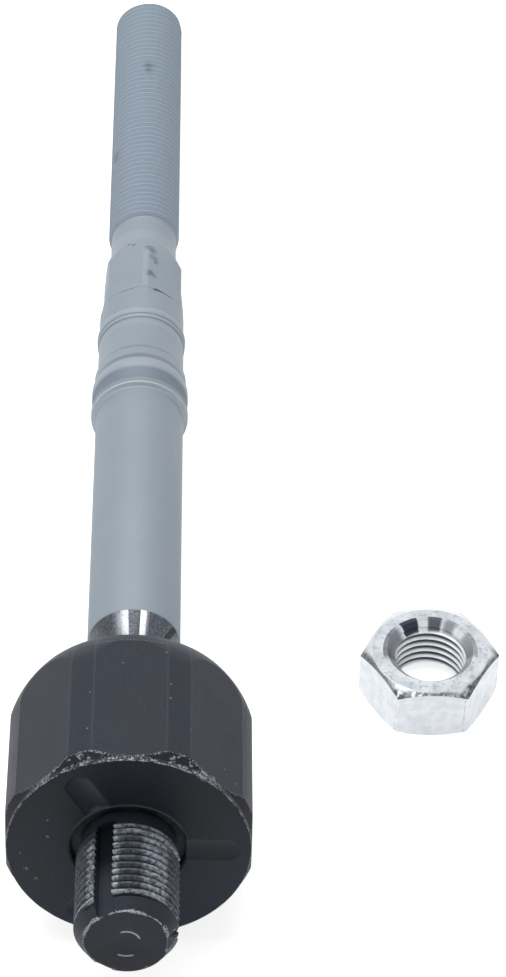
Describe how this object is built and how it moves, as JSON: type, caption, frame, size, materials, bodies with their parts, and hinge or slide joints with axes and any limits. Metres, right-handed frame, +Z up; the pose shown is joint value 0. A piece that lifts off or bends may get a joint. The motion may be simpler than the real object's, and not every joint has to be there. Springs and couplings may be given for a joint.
{
  "type": "inner tie rod",
  "caption": "Steering inner tie rod: threaded stud and socket housing, ball jointed rod with a long threaded end, and a loose hex lock nut.",
  "frame": {"origin": "on the joint's axis, in the middle of the stud's thread", "axes": "+Y along the joint towards the rod's thread, +X towards the loose lock nut, +Z up; the axis falls 3.6 degrees towards the rod's thread because the part lies on the ground"},
  "size_m": [0.085, 0.265, 0.0423],
  "materials": {
    "black_oxide_steel": "satin black oxide over forged and turned steel",
    "acetal": "natural moulded acetal",
    "zinc_steel": "matte blue grey zinc",
    "bright_zinc_steel": "bright zinc"
  },
  "bodies": {
    "housing": {"socket_housing": "black_oxide_steel", "lock_nut": "bright_zinc_steel"},
    "bearing": {"bearing_shell": "acetal"},
    "rod": {"ball_rod": "zinc_steel"}
  },
  "joints": [
    {"name": "rod_spin", "type": "hinge", "parent": "housing", "child": "bearing", "pos_m": [0, 0.03061, -0.00193], "axis": [0, 0.998, -0.0629], "continuous": true},
    {"name": "rod_swing", "type": "hinge", "parent": "bearing", "child": "rod", "pos_m": [0, 0.03061, -0.00193], "axis": [1, 0, 0], "range_deg": [-25, 25]}
  ]
}
